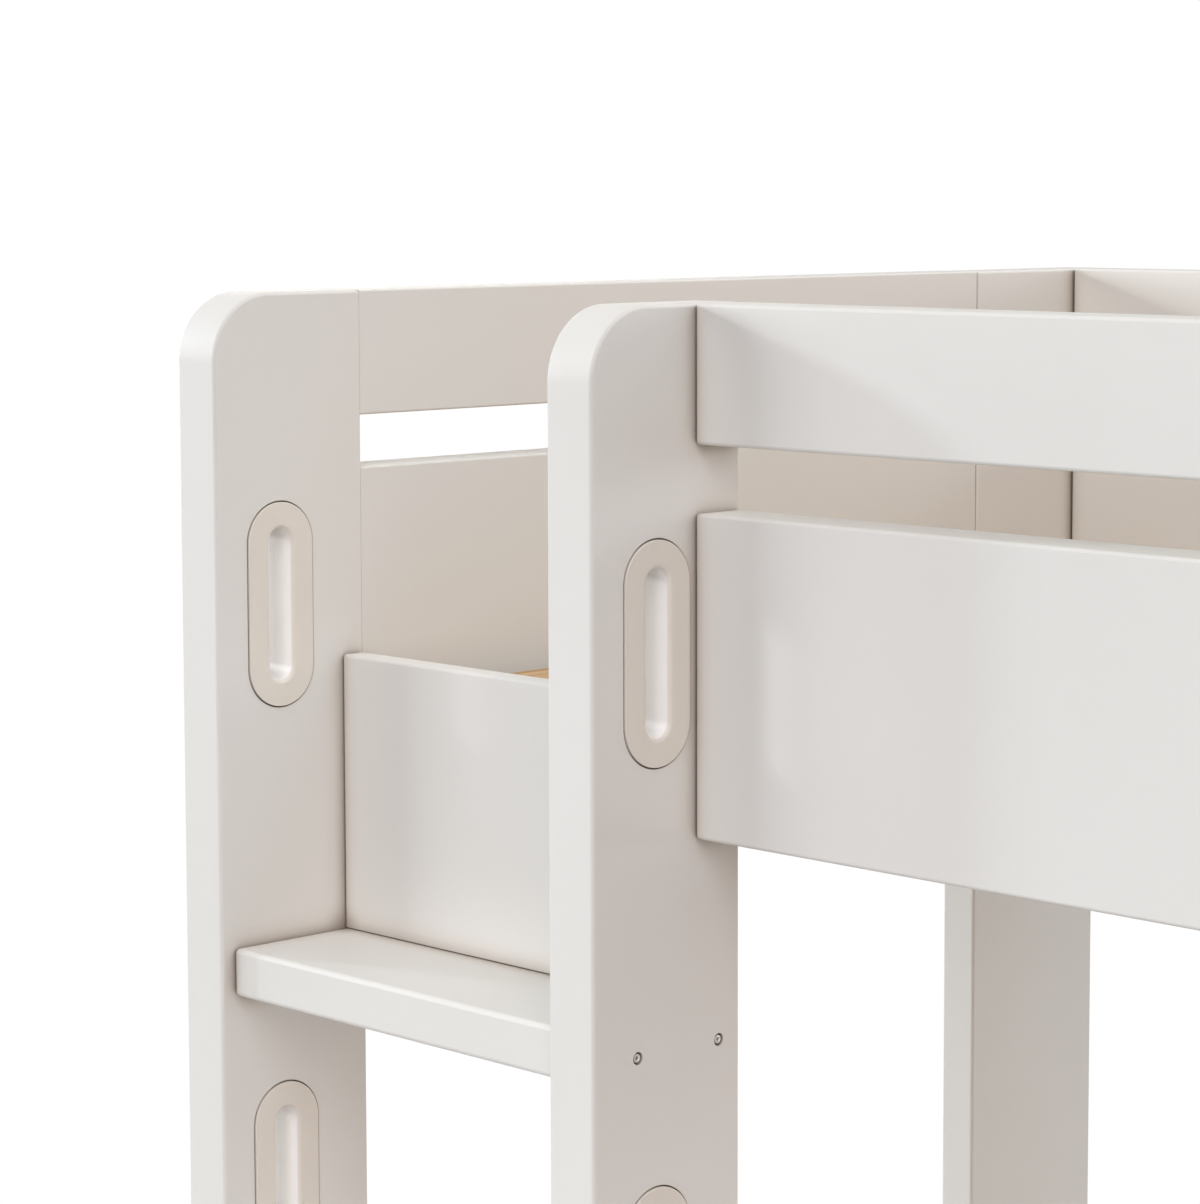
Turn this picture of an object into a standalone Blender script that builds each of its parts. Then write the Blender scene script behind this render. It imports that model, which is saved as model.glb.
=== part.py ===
"""Bunk bed with a built-in ladder at its front left end, for 900 x 2000 mm mattresses.

Every separate piece is one named object.  Metres, +Z up, +X along the length,
-Y is the side the ladder stands on.  The origin is at floor level, under the
middle of the bed.
"""

import math

import bmesh
import bpy
from mathutils import Vector

# ----------------------------------------------------------------------------
# Driving dimensions (metres)
# ----------------------------------------------------------------------------
JOINT_GAP = 0.0003            # clearance left between two pieces that touch

INNER_LENGTH = 2.020          # clear length between the two end panels
INNER_WIDTH = 0.923           # clear width between the front and rear boards
PANEL = 0.047                 # thickness of posts, end boards and front boards
REAR_BOARD = 0.042            # thickness of the rear boards

POST_DEPTH = 0.150            # front posts and ladder stiles, front to back
POST_CORNER_R = 0.055         # big radius on their top front corner
REAR_POST_T = 0.039           # rear legs, thickness
REAR_POST_DEPTH = 0.186       # rear legs, front to back

LADDER_PITCH = 0.4335         # left face of one stile to left face of the other
TREAD_RISE = 0.300            # tread top to tread top, and floor to first tread
TREAD_COUNT = 4
TREAD_T = 0.039               # tread thickness
TREAD_SETBACK = 0.012         # tread nose behind the stiles' front edge
TREAD_EDGE_R = 0.006
TOP_ABOVE_TREAD = 0.527       # post top above the uppermost tread

TOP_BOARD_H = 0.1025          # narrow guard board
GUARD_GAP = 0.050             # gap under it, front and rear
END_GAP = 0.043               # gap under it, at the two ends
GUARD_BOTTOM = 0.3925         # underside of the wide boards, below the post top
ENTRY_RAIL_T = 0.022          # board behind the ladder opening
ENTRY_RAIL_DROP = 0.2985      # its top edge, below the post top
UPPER_BASE_DROP = 0.3285      # slat tops of the upper bunk, below the post top

LOWER_RAIL_Z = 0.200          # underside of the lower bunk's boards
LOWER_FRONT_TOP = 0.400       # top of the lower bunk's front rail
LOWER_BACK_TOP = 0.440        # top of its rear and end boards
LOWER_BASE_Z = 0.264          # slat tops of the lower bunk

SLAT_T = 0.018
SLAT_W = 0.155
SLAT_COUNT = 9                # in each bunk
SLAT_END_CLEAR = 0.0015       # each end of a slat, to the side boards
SLAT_FIRST = 0.020            # end board to first slat
CLEAT_W = 0.025               # slat bearer, section width
CLEAT_H = 0.040               # slat bearer, section height
CLEAT_END = 0.012             # bearer end to the end board

GRIP_CORE = 0.0505            # half length of the straight part of a grip
GRIP_PLATE_R = 0.0325         # outer radius of the flange
GRIP_THROAT_R = 0.0115        # radius of the finger slot
GRIP_FILLET = 0.006           # rounding of the slot's mouth
GRIP_SLEEVE_R = 0.0145        # outer radius of the sleeve inside the stile
GRIP_PROUD = 0.0013           # flange face above the stile's face
GRIP_SEAT = 0.0022            # flange underside below the stile's face
GRIP_GROOVE = 0.0012          # open groove all round the flange
GRIP_Y = 0.0648               # grip axis behind the stiles' front edge
GRIP_DROPS = (0.2520, 0.7290) # grip centres below the post top

BOLT_HEAD_R = 0.0039
BOLT_HEAD_H = 0.0053
BOLT_SHANK_R = 0.0030
BOLT_RECESS_R = 0.0045
BOLT_HEX_R = 0.0019           # socket, across the flats / 2
BOLT_Y = (0.0450, 0.1287)     # bolt axes behind the stiles' front edge
BOLT_BITE = 0.036             # length of a bolt inside the tread

GLIDE_H = 0.004
GLIDE_R = 0.014
GLIDE_CORE = 0.042            # half length of the straight part of a glide

EDGE_R = 0.003                # ordinary rounding of board edges
EDGE_SEGMENTS = 2

# derived
HEIGHT = TREAD_RISE * TREAD_COUNT + TOP_ABOVE_TREAD
LENGTH = INNER_LENGTH + 2 * PANEL
DEPTH = POST_DEPTH + INNER_WIDTH + REAR_BOARD
X_LEFT = -(LENGTH - GRIP_PROUD) / 2     # outer face of the left end
Y_FRONT = -DEPTH / 2                    # front edge of the stiles
POST_FOOT = GLIDE_H + JOINT_GAP


def wx(x):
    """Distance from the bed's left outer face -> world X."""
    return X_LEFT + x


def wy(y):
    """Distance behind the stiles' front edge -> world Y."""
    return Y_FRONT + y


# ----------------------------------------------------------------------------
# Scene preparation and materials
# ----------------------------------------------------------------------------
for _obj in list(bpy.data.objects):
    bpy.data.objects.remove(_obj, do_unlink=True)


def make_material(name, colour, roughness, metallic):
    mat = bpy.data.materials.new(name)
    mat.use_nodes = True
    bsdf = mat.node_tree.nodes["Principled BSDF"]
    bsdf.inputs["Base Color"].default_value = (*colour, 1.0)
    bsdf.inputs["Roughness"].default_value = roughness
    bsdf.inputs["Metallic"].default_value = metallic
    mat.diffuse_color = (*colour, 1.0)
    return mat


WHITE = (0.80, 0.785, 0.76)
PINE = (0.56, 0.39, 0.21)
BEIGE = (0.70, 0.63, 0.54)
STEEL = (0.55, 0.54, 0.52)
GREY = (0.45, 0.44, 0.42)


def node_material(name, kind):
    colour, rough, metal = {
        "lacquer": (WHITE, 0.42, 0.0),
        "pine": (PINE, 0.60, 0.0),
        "grip": (BEIGE, 0.48, 0.0),
        "steel": (STEEL, 0.35, 1.0),
        "glide": (GREY, 0.65, 0.0),
    }[kind]
    return make_material(name + "_" + kind, colour, rough, metal)


# ----------------------------------------------------------------------------
# Helpers
# ----------------------------------------------------------------------------
def make_group(name):
    empty = bpy.data.objects.new(name, None)
    bpy.context.scene.collection.objects.link(empty)
    return empty


BED = make_group("bed")
GROUPS = {}
for _name in ("frame", "upper_bunk", "lower_bunk", "ladder"):
    GROUPS[_name] = make_group(_name)
    GROUPS[_name].parent = BED


def finish_object(name, bm, location, kind, group):
    bmesh.ops.recalc_face_normals(bm, faces=bm.faces[:])
    mesh = bpy.data.meshes.new(name)
    bm.to_mesh(mesh)
    bm.free()
    obj = bpy.data.objects.new(name, mesh)
    bpy.context.scene.collection.objects.link(obj)
    obj.location = location
    obj.parent = GROUPS[group]
    if kind is not None:
        mesh.materials.append(node_material(name, kind))
    return obj


def add_rounding(obj, radius, segments=EDGE_SEGMENTS):
    mod = obj.modifiers.new("edge_rounding", "BEVEL")
    mod.width = radius
    mod.segments = segments
    mod.limit_method = "ANGLE"
    mod.angle_limit = math.radians(40)
    mod.use_clamp_overlap = True
    return mod


def board(name, x, y, z, group, kind="lacquer", radius=EDGE_R, segments=EDGE_SEGMENTS):
    """A straight board: x, y and z are (low, high) pairs measured from the
    bed's left face, from the stiles' front edge and from the floor."""
    size = (x[1] - x[0], y[1] - y[0], z[1] - z[0])
    centre = (wx((x[0] + x[1]) / 2), wy((y[0] + y[1]) / 2), (z[0] + z[1]) / 2)
    bm = bmesh.new()
    bmesh.ops.create_cube(bm, size=1.0)
    bmesh.ops.scale(bm, vec=size, verts=bm.verts[:])
    obj = finish_object(name, bm, centre, kind, group)
    add_rounding(obj, radius, segments)
    return obj


def extrude_outline(points, half):
    """Prism along X of an outline given as (y, z) points."""
    bm = bmesh.new()
    face = bm.faces.new([bm.verts.new((-half, y, z)) for y, z in points])
    out = bmesh.ops.extrude_face_region(bm, geom=[face])
    moved = [g for g in out["geom"] if isinstance(g, bmesh.types.BMVert)]
    bmesh.ops.translate(bm, vec=(2 * half, 0, 0), verts=moved)
    return bm


def post_outline(depth, foot, top, corner, segments=10):
    """Side view of a front post, about its own front bottom corner."""
    pts = [(0.0, foot), (depth, foot), (depth, top)]
    for i in range(segments + 1):
        a = math.radians(90 + 90 * i / segments)
        pts.append((corner + corner * math.cos(a), top - corner + corner * math.sin(a)))
    return pts


def stadium_loop(radius, core, segments):
    """Points (y, z) of a slot outline: two half circles and two straights."""
    pts = []
    for sign, start in ((1, 0), (-1, 180)):
        for i in range(segments + 1):
            a = math.radians(start + 180 * i / segments)
            pts.append((radius * math.cos(a), sign * core + radius * math.sin(a)))
    return pts


def skin_rows(bm, rows, closed_rows):
    """Join rows of equal length with quads; a closed profile joins the last
    row back to the first, an open one is capped at both ends."""
    loops = [[bm.verts.new(p) for p in row] for row in rows]
    n = len(loops[0])
    last = len(loops) if closed_rows else len(loops) - 1
    for i in range(last):
        a, b = loops[i], loops[(i + 1) % len(loops)]
        for j in range(n):
            k = (j + 1) % n
            bm.faces.new((a[j], a[k], b[k], b[j]))
    if not closed_rows:
        bm.faces.new(loops[0])
        bm.faces.new(loops[-1])


def arc_profile(cr, cx, radius, start, stop, steps):
    """(r, x) points on an arc of a profile."""
    pts = []
    for i in range(steps + 1):
        a = math.radians(start + (stop - start) * i / steps)
        pts.append((cr + radius * math.cos(a), cx + radius * math.sin(a)))
    return pts


def lathe_rows(profile, segments):
    """Circles about the X axis for (r, x) profile points."""
    rows = []
    for r, x in profile:
        rows.append([(x, r * math.cos(2 * math.pi * j / segments),
                      r * math.sin(2 * math.pi * j / segments)) for j in range(segments)])
    return rows


def hex_row(flat, x, segments):
    """A hexagon about the X axis, sampled like a circle of `segments` points."""
    row = []
    for j in range(segments):
        a = 2 * math.pi * j / segments
        sector = (a % (math.pi / 3)) - math.pi / 6
        r = flat / math.cos(sector)
        row.append((x, r * math.cos(a), r * math.sin(a)))
    return row


def hide_cutter(obj):
    obj.hide_render = True
    obj.display_type = "WIRE"


def cut(obj, cutter):
    mod = obj.modifiers.new("cut_" + cutter.name, "BOOLEAN")
    mod.operation = "DIFFERENCE"
    mod.solver = "EXACT"
    mod.object = cutter


# ----------------------------------------------------------------------------
# Posts, ladder stiles and rear legs
# ----------------------------------------------------------------------------
def front_post(name, x, group="frame"):
    half = PANEL / 2
    bm = extrude_outline(post_outline(POST_DEPTH, POST_FOOT, HEIGHT, POST_CORNER_R), half)
    obj = finish_object(name, bm, (wx(x) + half, wy(0.0), 0.0), "lacquer", group)
    add_rounding(obj, EDGE_R)
    return obj


STILE_X = (0.0, LADDER_PITCH)
RIGHT_X = LENGTH - PANEL

stile_outer = front_post("ladder_stile_outer", STILE_X[0])
stile_inner = front_post("ladder_stile_inner", STILE_X[1])
front_post("front_right_post", RIGHT_X)

REAR_Y = DEPTH - REAR_POST_DEPTH
board("rear_left_post", (PANEL - REAR_POST_T, PANEL), (REAR_Y, DEPTH), (POST_FOOT, HEIGHT), "frame")
board("rear_right_post", (RIGHT_X, RIGHT_X + REAR_POST_T), (REAR_Y, DEPTH), (POST_FOOT, HEIGHT), "frame")

# ----------------------------------------------------------------------------
# Boards of the upper bunk
# ----------------------------------------------------------------------------
FRONT_Y = (POST_DEPTH - PANEL, POST_DEPTH)
REAR_BOARD_Y = (POST_DEPTH + INNER_WIDTH, DEPTH)
END_Y = (POST_DEPTH + JOINT_GAP, REAR_Y - JOINT_GAP)
FRONT_X = (LADDER_PITCH + PANEL + JOINT_GAP, RIGHT_X - JOINT_GAP)
REAR_X = (PANEL + JOINT_GAP, RIGHT_X - JOINT_GAP)
LADDER_X = (PANEL + JOINT_GAP, LADDER_PITCH - JOINT_GAP)

board("front_guard_top_board", FRONT_X, FRONT_Y, (HEIGHT - TOP_BOARD_H, HEIGHT), "upper_bunk")
board("front_guard_side_board", FRONT_X, FRONT_Y,
      (HEIGHT - GUARD_BOTTOM, HEIGHT - TOP_BOARD_H - GUARD_GAP), "upper_bunk")
board("rear_guard_top_board", REAR_X, REAR_BOARD_Y, (HEIGHT - TOP_BOARD_H, HEIGHT), "upper_bunk")
board("rear_guard_side_board", REAR_X, REAR_BOARD_Y,
      (HEIGHT - GUARD_BOTTOM, HEIGHT - TOP_BOARD_H - GUARD_GAP), "upper_bunk")
for _side, _x in (("left", (0.0, PANEL)), ("right", (RIGHT_X, LENGTH))):
    board("upper_%s_end_top_board" % _side, _x, END_Y, (HEIGHT - TOP_BOARD_H, HEIGHT), "upper_bunk")
    board("upper_%s_end_board" % _side, _x, END_Y,
          (HEIGHT - GUARD_BOTTOM, HEIGHT - TOP_BOARD_H - END_GAP), "upper_bunk")

ENTRY_Y = (POST_DEPTH - ENTRY_RAIL_T, POST_DEPTH)
TOP_TREAD_Z = TREAD_RISE * TREAD_COUNT
board("upper_entry_rail", LADDER_X, ENTRY_Y,
      (TOP_TREAD_Z + JOINT_GAP, HEIGHT - ENTRY_RAIL_DROP), "upper_bunk", radius=0.0045)

# ----------------------------------------------------------------------------
# Boards of the lower bunk
# ----------------------------------------------------------------------------
board("lower_front_rail", FRONT_X, FRONT_Y, (LOWER_RAIL_Z, LOWER_FRONT_TOP), "lower_bunk")
board("lower_entry_rail", LADDER_X, ENTRY_Y,
      (TREAD_RISE + JOINT_GAP, LOWER_FRONT_TOP), "lower_bunk", radius=0.0045)
board("lower_rear_board", REAR_X, REAR_BOARD_Y, (LOWER_RAIL_Z, LOWER_BACK_TOP), "lower_bunk")
for _side, _x in (("left", (0.0, PANEL)), ("right", (RIGHT_X, LENGTH))):
    board("lower_%s_end_board" % _side, _x, END_Y, (LOWER_RAIL_Z, LOWER_BACK_TOP), "lower_bunk")

# ----------------------------------------------------------------------------
# Slat bearers and slats
# ----------------------------------------------------------------------------
INNER_Y = (POST_DEPTH, POST_DEPTH + INNER_WIDTH)
for _bunk, _top in (("upper", HEIGHT - UPPER_BASE_DROP), ("lower", LOWER_BASE_Z)):
    _group = _bunk + "_bunk"
    _bearer_top = _top - SLAT_T - JOINT_GAP
    _bearer_z = (_bearer_top - CLEAT_H, _bearer_top)
    _bearer_x = (PANEL + CLEAT_END, RIGHT_X - CLEAT_END)
    board(_bunk + "_front_slat_bearer", _bearer_x,
          (INNER_Y[0] + JOINT_GAP, INNER_Y[0] + JOINT_GAP + CLEAT_W), _bearer_z, _group, "pine", 0.0015, 1)
    board(_bunk + "_rear_slat_bearer", _bearer_x,
          (INNER_Y[1] - JOINT_GAP - CLEAT_W, INNER_Y[1] - JOINT_GAP), _bearer_z, _group, "pine", 0.0015, 1)
    _span = INNER_LENGTH - 2 * SLAT_FIRST - SLAT_W
    for _i in range(SLAT_COUNT):
        _x = PANEL + SLAT_FIRST + _span * _i / (SLAT_COUNT - 1)
        board("%s_slat_%d" % (_bunk, _i + 1), (_x, _x + SLAT_W),
              (INNER_Y[0] + SLAT_END_CLEAR, INNER_Y[1] - SLAT_END_CLEAR),
              (_top - SLAT_T, _top), _group, "pine", 0.0015, 1)

# ----------------------------------------------------------------------------
# Ladder treads, number 1 is the lowest
# ----------------------------------------------------------------------------
TREAD_Y = (TREAD_SETBACK, POST_DEPTH)
treads = []
for _i in range(TREAD_COUNT):
    _z = TREAD_RISE * (_i + 1)
    treads.append(board("ladder_tread_%d" % (_i + 1), LADDER_X, TREAD_Y, (_z - TREAD_T, _z),
                        "ladder", radius=TREAD_EDGE_R, segments=3))

# ----------------------------------------------------------------------------
# Hand grips: a two-part bushing in each slotted hole of the two stiles
# ----------------------------------------------------------------------------
GRIP_SEGMENTS = 10


def grip_profile():
    """Closed (r, x) section of one half, x from the middle of the stile."""
    face = PANEL / 2 + GRIP_PROUD
    under = PANEL / 2 - GRIP_SEAT
    inner = JOINT_GAP / 2
    edge = 0.0008
    prof = [(GRIP_PLATE_R, under), (GRIP_PLATE_R, face - edge), (GRIP_PLATE_R - edge, face)]
    prof += arc_profile(GRIP_THROAT_R + GRIP_FILLET, face - GRIP_FILLET, GRIP_FILLET, 90, 180, 4)
    prof += [(GRIP_THROAT_R, inner), (GRIP_SLEEVE_R, inner), (GRIP_SLEEVE_R, under)]
    return prof


def grip_half(name, centre, side):
    bm = bmesh.new()
    rows = [[(side * x, y, z) for y, z in stadium_loop(r, GRIP_CORE, GRIP_SEGMENTS)]
            for r, x in grip_profile()]
    skin_rows(bm, rows, True)
    obj = finish_object(name, bm, centre, "grip", "ladder")
    obj.data.shade_smooth()
    obj.data.set_sharp_from_angle(angle=math.radians(35))
    return obj


def grip_cutter(name, centre):
    """Through hole with a shallow seat on both faces of the stile."""
    seat_r = GRIP_PLATE_R + GRIP_GROOVE
    hole_r = GRIP_SLEEVE_R + JOINT_GAP
    floor = PANEL / 2 - GRIP_SEAT - JOINT_GAP
    far = PANEL / 2 + 0.010
    rows = [[(x, y, z) for y, z in stadium_loop(r, GRIP_CORE, GRIP_SEGMENTS)]
            for r, x in ((seat_r, -far), (seat_r, -floor), (hole_r, -floor),
                         (hole_r, floor), (seat_r, floor), (seat_r, far))]
    bm = bmesh.new()
    skin_rows(bm, rows, False)
    obj = finish_object(name, bm, centre, None, "ladder")
    hide_cutter(obj)
    return obj


for _stile, _obj, _x in (("outer_stile", stile_outer, STILE_X[0]), ("inner_stile", stile_inner, STILE_X[1])):
    for _level, _drop in zip(("upper", "lower"), GRIP_DROPS):
        _centre = Vector((wx(_x + PANEL / 2), wy(GRIP_Y), HEIGHT - _drop))
        cut(_obj, grip_cutter("cutter_%s_%s" % (_stile, _level), _centre))
        grip_half("%s_%s_grip_left_half" % (_stile, _level), _centre, -1)
        grip_half("%s_%s_grip_right_half" % (_stile, _level), _centre, 1)

# ----------------------------------------------------------------------------
# Socket bolts that hold the uppermost tread to the inner stile
# ----------------------------------------------------------------------------
BOLT_SEGMENTS = 24
BOLT_Z = TOP_TREAD_Z - TREAD_T / 2
BOLT_FACE = LADDER_PITCH + PANEL          # right face of the inner stile
HEAD_TOP = -0.0006                        # head top, from that face
HEAD_UNDER = HEAD_TOP - BOLT_HEAD_H
SHANK_TIP = -(PANEL + BOLT_BITE)


def tread_bolt(name, centre):
    rows = lathe_rows([(BOLT_SHANK_R - 0.0008, SHANK_TIP), (BOLT_SHANK_R, SHANK_TIP + 0.0008),
                       (BOLT_SHANK_R, HEAD_UNDER), (BOLT_HEAD_R, HEAD_UNDER),
                       (BOLT_HEAD_R, HEAD_TOP - 0.0006), (BOLT_HEAD_R - 0.0006, HEAD_TOP)], BOLT_SEGMENTS)
    rows.append(hex_row(BOLT_HEX_R, HEAD_TOP, BOLT_SEGMENTS))
    rows.append(hex_row(BOLT_HEX_R, HEAD_TOP - 0.0030, BOLT_SEGMENTS))
    bm = bmesh.new()
    skin_rows(bm, rows, False)
    obj = finish_object(name, bm, centre, "steel", "ladder")
    obj.data.shade_smooth()
    obj.data.set_sharp_from_angle(angle=math.radians(35))
    return obj


def bolt_cutter(name, centre):
    rows = lathe_rows([(BOLT_SHANK_R + JOINT_GAP, SHANK_TIP - 0.003),
                       (BOLT_SHANK_R + JOINT_GAP, HEAD_UNDER - JOINT_GAP),
                       (BOLT_RECESS_R, HEAD_UNDER - JOINT_GAP), (BOLT_RECESS_R, 0.010)], BOLT_SEGMENTS)
    bm = bmesh.new()
    skin_rows(bm, rows, False)
    obj = finish_object(name, bm, centre, None, "ladder")
    hide_cutter(obj)
    return obj


for _name, _y in zip(("front", "rear"), BOLT_Y):
    _centre = Vector((wx(BOLT_FACE), wy(_y), BOLT_Z))
    _cutter = bolt_cutter("cutter_bolt_" + _name, _centre)
    cut(stile_inner, _cutter)
    cut(treads[-1], _cutter)
    tread_bolt("top_tread_bolt_" + _name, _centre)

# ----------------------------------------------------------------------------
# Floor glides
# ----------------------------------------------------------------------------
def glide(name, x, y):
    edge = 0.0012
    rows = []
    for r, z in ((GLIDE_R - edge, 0.0), (GLIDE_R, edge), (GLIDE_R, GLIDE_H)):
        rows.append([(a, b, z) for a, b in stadium_loop(r, GLIDE_CORE, 8)])
    bm = bmesh.new()
    skin_rows(bm, rows, False)
    obj = finish_object(name, bm, (wx(x), wy(y), 0.0), "glide", "frame")
    obj.data.shade_smooth()
    obj.data.set_sharp_from_angle(angle=math.radians(35))
    return obj


FRONT_GLIDE_Y = POST_DEPTH / 2
REAR_GLIDE_Y = DEPTH - REAR_POST_DEPTH / 2
glide("ladder_stile_outer_glide", STILE_X[0] + PANEL / 2, FRONT_GLIDE_Y)
glide("ladder_stile_inner_glide", STILE_X[1] + PANEL / 2, FRONT_GLIDE_Y)
glide("front_right_glide", RIGHT_X + PANEL / 2, FRONT_GLIDE_Y)
glide("rear_left_glide", PANEL - REAR_POST_T / 2, REAR_GLIDE_Y)
glide("rear_right_glide", RIGHT_X + REAR_POST_T / 2, REAR_GLIDE_Y)
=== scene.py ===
"""Looks of the bunk bed with ladder: fine surfaces, materials, floor, lights, camera."""

import math

import bmesh
import bpy
import numpy as np
from mathutils import Euler, Matrix, Vector


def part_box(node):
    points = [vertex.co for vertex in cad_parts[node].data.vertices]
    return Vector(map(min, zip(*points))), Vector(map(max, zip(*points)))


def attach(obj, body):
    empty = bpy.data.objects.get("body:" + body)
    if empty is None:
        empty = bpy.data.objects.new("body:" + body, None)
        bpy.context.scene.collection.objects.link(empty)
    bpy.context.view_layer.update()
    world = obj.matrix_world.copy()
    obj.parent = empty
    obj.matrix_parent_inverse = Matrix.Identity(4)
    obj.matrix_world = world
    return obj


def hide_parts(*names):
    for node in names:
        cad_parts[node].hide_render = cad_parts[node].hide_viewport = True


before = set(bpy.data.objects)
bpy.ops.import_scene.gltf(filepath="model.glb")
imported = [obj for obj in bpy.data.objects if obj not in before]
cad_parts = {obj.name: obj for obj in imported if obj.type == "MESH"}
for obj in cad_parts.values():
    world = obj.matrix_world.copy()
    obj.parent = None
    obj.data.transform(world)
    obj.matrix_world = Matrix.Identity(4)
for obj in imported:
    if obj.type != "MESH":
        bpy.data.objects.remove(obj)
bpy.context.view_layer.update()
RNG = np.random.default_rng(11)

# ---------------------------------------------------------------------------
# Where things are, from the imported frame
# ---------------------------------------------------------------------------
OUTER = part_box("ladder_stile_outer")
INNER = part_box("ladder_stile_inner")
HEIGHT = OUTER[1].z
X_LEFT = OUTER[0].x
Y_FRONT = OUTER[0].y
PANEL = INNER[1].x - INNER[0].x
POST_DEPTH = OUTER[1].y - OUTER[0].y


# ---------------------------------------------------------------------------
# Materials
# ---------------------------------------------------------------------------
class Nodes:
    """A small helper that builds one node material."""

    def __init__(self, name):
        self.mat = bpy.data.materials.new(name)
        self.mat.use_nodes = True
        self.tree = self.mat.node_tree
        self.bsdf = self.tree.nodes["Principled BSDF"]

    def add(self, kind, **props):
        n = self.tree.nodes.new(kind)
        for k, v in props.items():
            setattr(n, k, v)
        return n

    def link(self, a, b):
        self.tree.links.new(a, b)

    def coords(self, scale=(1, 1, 1), rotation=(0, 0, 0), location=(0, 0, 0)):
        tex = self.add("ShaderNodeTexCoord")
        mapping = self.add("ShaderNodeMapping")
        mapping.inputs["Scale"].default_value = scale
        mapping.inputs["Rotation"].default_value = rotation
        mapping.inputs["Location"].default_value = location
        self.link(tex.outputs["Object"], mapping.inputs["Vector"])
        return mapping.outputs["Vector"]

    def noise(self, vector, scale, detail=2.0, roughness=0.5, distortion=0.0):
        n = self.add("ShaderNodeTexNoise")
        n.inputs["Scale"].default_value = scale
        n.inputs["Detail"].default_value = detail
        n.inputs["Roughness"].default_value = roughness
        n.inputs["Distortion"].default_value = distortion
        self.link(vector, n.inputs["Vector"])
        return n

    def span(self, value, low, high, out_low, out_high):
        n = self.add("ShaderNodeMapRange")
        n.inputs["From Min"].default_value = low
        n.inputs["From Max"].default_value = high
        n.inputs["To Min"].default_value = out_low
        n.inputs["To Max"].default_value = out_high
        self.link(value, n.inputs["Value"])
        return n.outputs["Result"]

    def ramp(self, value, stops):
        n = self.add("ShaderNodeValToRGB")
        ramp = n.color_ramp
        while len(ramp.elements) > len(stops):
            ramp.elements.remove(ramp.elements[-1])
        while len(ramp.elements) < len(stops):
            ramp.elements.new(0.5)
        for e, (pos, colour) in zip(ramp.elements, stops):
            e.position = pos
            e.color = (*colour, 1.0)
        self.link(value, n.inputs["Fac"])
        return n.outputs["Color"]

    def mix(self, kind, factor, a, b):
        n = self.add("ShaderNodeMix", data_type="RGBA", blend_type=kind)
        fac, ca, cb = n.inputs[0], n.inputs[6], n.inputs[7]
        for sock, v in ((fac, factor), (ca, a), (cb, b)):
            if isinstance(v, bpy.types.NodeSocket):
                self.link(v, sock)
            elif sock is fac:
                sock.default_value = v
            else:
                sock.default_value = (*v, 1.0)
        return n.outputs[2]

    def math(self, operation, a, b):
        n = self.add("ShaderNodeMath", operation=operation)
        for sock, v in zip(n.inputs, (a, b)):
            if isinstance(v, bpy.types.NodeSocket):
                self.link(v, sock)
            else:
                sock.default_value = v
        return n.outputs[0]

    def bump(self, height, strength, distance, under=None):
        n = self.add("ShaderNodeBump")
        n.inputs["Strength"].default_value = strength
        n.inputs["Distance"].default_value = distance
        self.link(height, n.inputs["Height"])
        if under is not None:
            self.link(under, n.inputs["Normal"])
        return n.outputs["Normal"]

    def set(self, name, value):
        self.bsdf.inputs[name].default_value = value


def lacquer(name, colour):
    """Satin white lacquer sprayed on wood: faint orange peel, a trace of uneven sheen and tone."""
    n = Nodes(name)
    v = n.coords()
    broad = n.noise(v, 2.6, 2.0, 0.5)
    tint_dark = tuple(c * f for c, f in zip(colour, (0.985, 0.982, 0.976)))
    tint_light = tuple(min(1.0, c * f) for c, f in zip(colour, (1.008, 1.008, 1.010)))
    base = n.ramp(broad.outputs["Fac"], [(0.30, tint_dark), (0.70, tint_light)])
    # painted shade: an ambient occlusion node darkens the base colour in the corners and along the joints, where shade
    # falls
    shade_occlusion = n.add("ShaderNodeAmbientOcclusion", samples=6)
    shade_occlusion.inputs["Distance"].default_value = 0.022
    painted_corner_shade = n.ramp(shade_occlusion.outputs["AO"], [(0.00, (0.20, 0.16, 0.13)), (0.48, (0.66, 0.60, 0.55)),
                                           (0.62, (0.87, 0.84, 0.80)), (0.78, (0.965, 0.950, 0.930)),
                                           (0.98, (1.0, 1.0, 1.0))])
    base = n.mix("MULTIPLY", 1.0, base, painted_corner_shade)
    n.link(base, n.bsdf.inputs["Base Color"])
    sheen = n.noise(v, 38.0, 4.0, 0.6)
    n.link(n.span(sheen.outputs["Fac"], 0.3, 0.7, 0.50, 0.58), n.bsdf.inputs["Roughness"])
    peel = n.noise(v, 620.0, 2.0, 0.45)
    ripple = n.noise(v, 46.0, 2.0, 0.5)
    soft = n.bump(ripple.outputs["Fac"], 0.10, 0.0006)
    n.link(n.bump(peel.outputs["Fac"], 0.16, 0.00016, soft), n.bsdf.inputs["Normal"])
    n.set("Specular IOR Level", 0.38)
    return n.mat


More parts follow.
